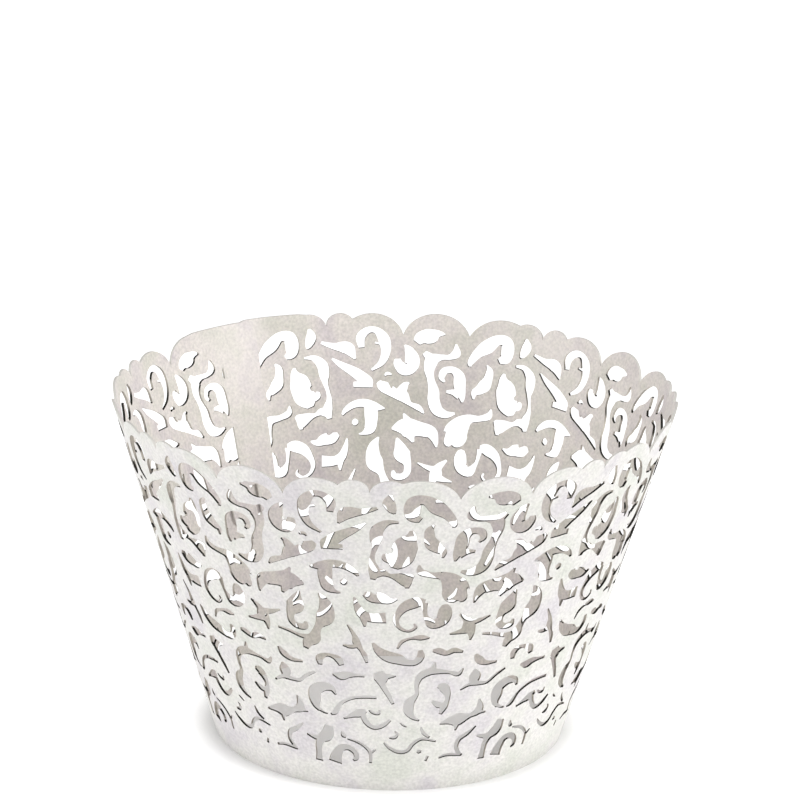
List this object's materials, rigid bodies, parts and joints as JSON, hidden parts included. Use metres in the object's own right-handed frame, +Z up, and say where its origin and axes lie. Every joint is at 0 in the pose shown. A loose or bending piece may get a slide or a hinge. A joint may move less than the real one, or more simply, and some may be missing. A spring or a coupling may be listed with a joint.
{
  "type": "cupcake wrapper",
  "caption": "Cone-shaped band of thin pearl card with a scalloped rim and laser-cut scroll filigree, open at both ends, closed by a tongue in a slot.",
  "frame": {"origin": "centre of the ring on which the wrapper stands, at its foot", "axes": "+Z up along the cone's axis, -Y towards the front; the seam is at the back left, about 33 degrees from +Y towards -X"},
  "size_m": [0.0834, 0.0833, 0.0527],
  "materials": {
    "pearl_card": "white pearl card, matte with a faint sheen"
  },
  "bodies": {
    "root": {"wrapper": "pearl_card"}
  },
  "joints": []
}
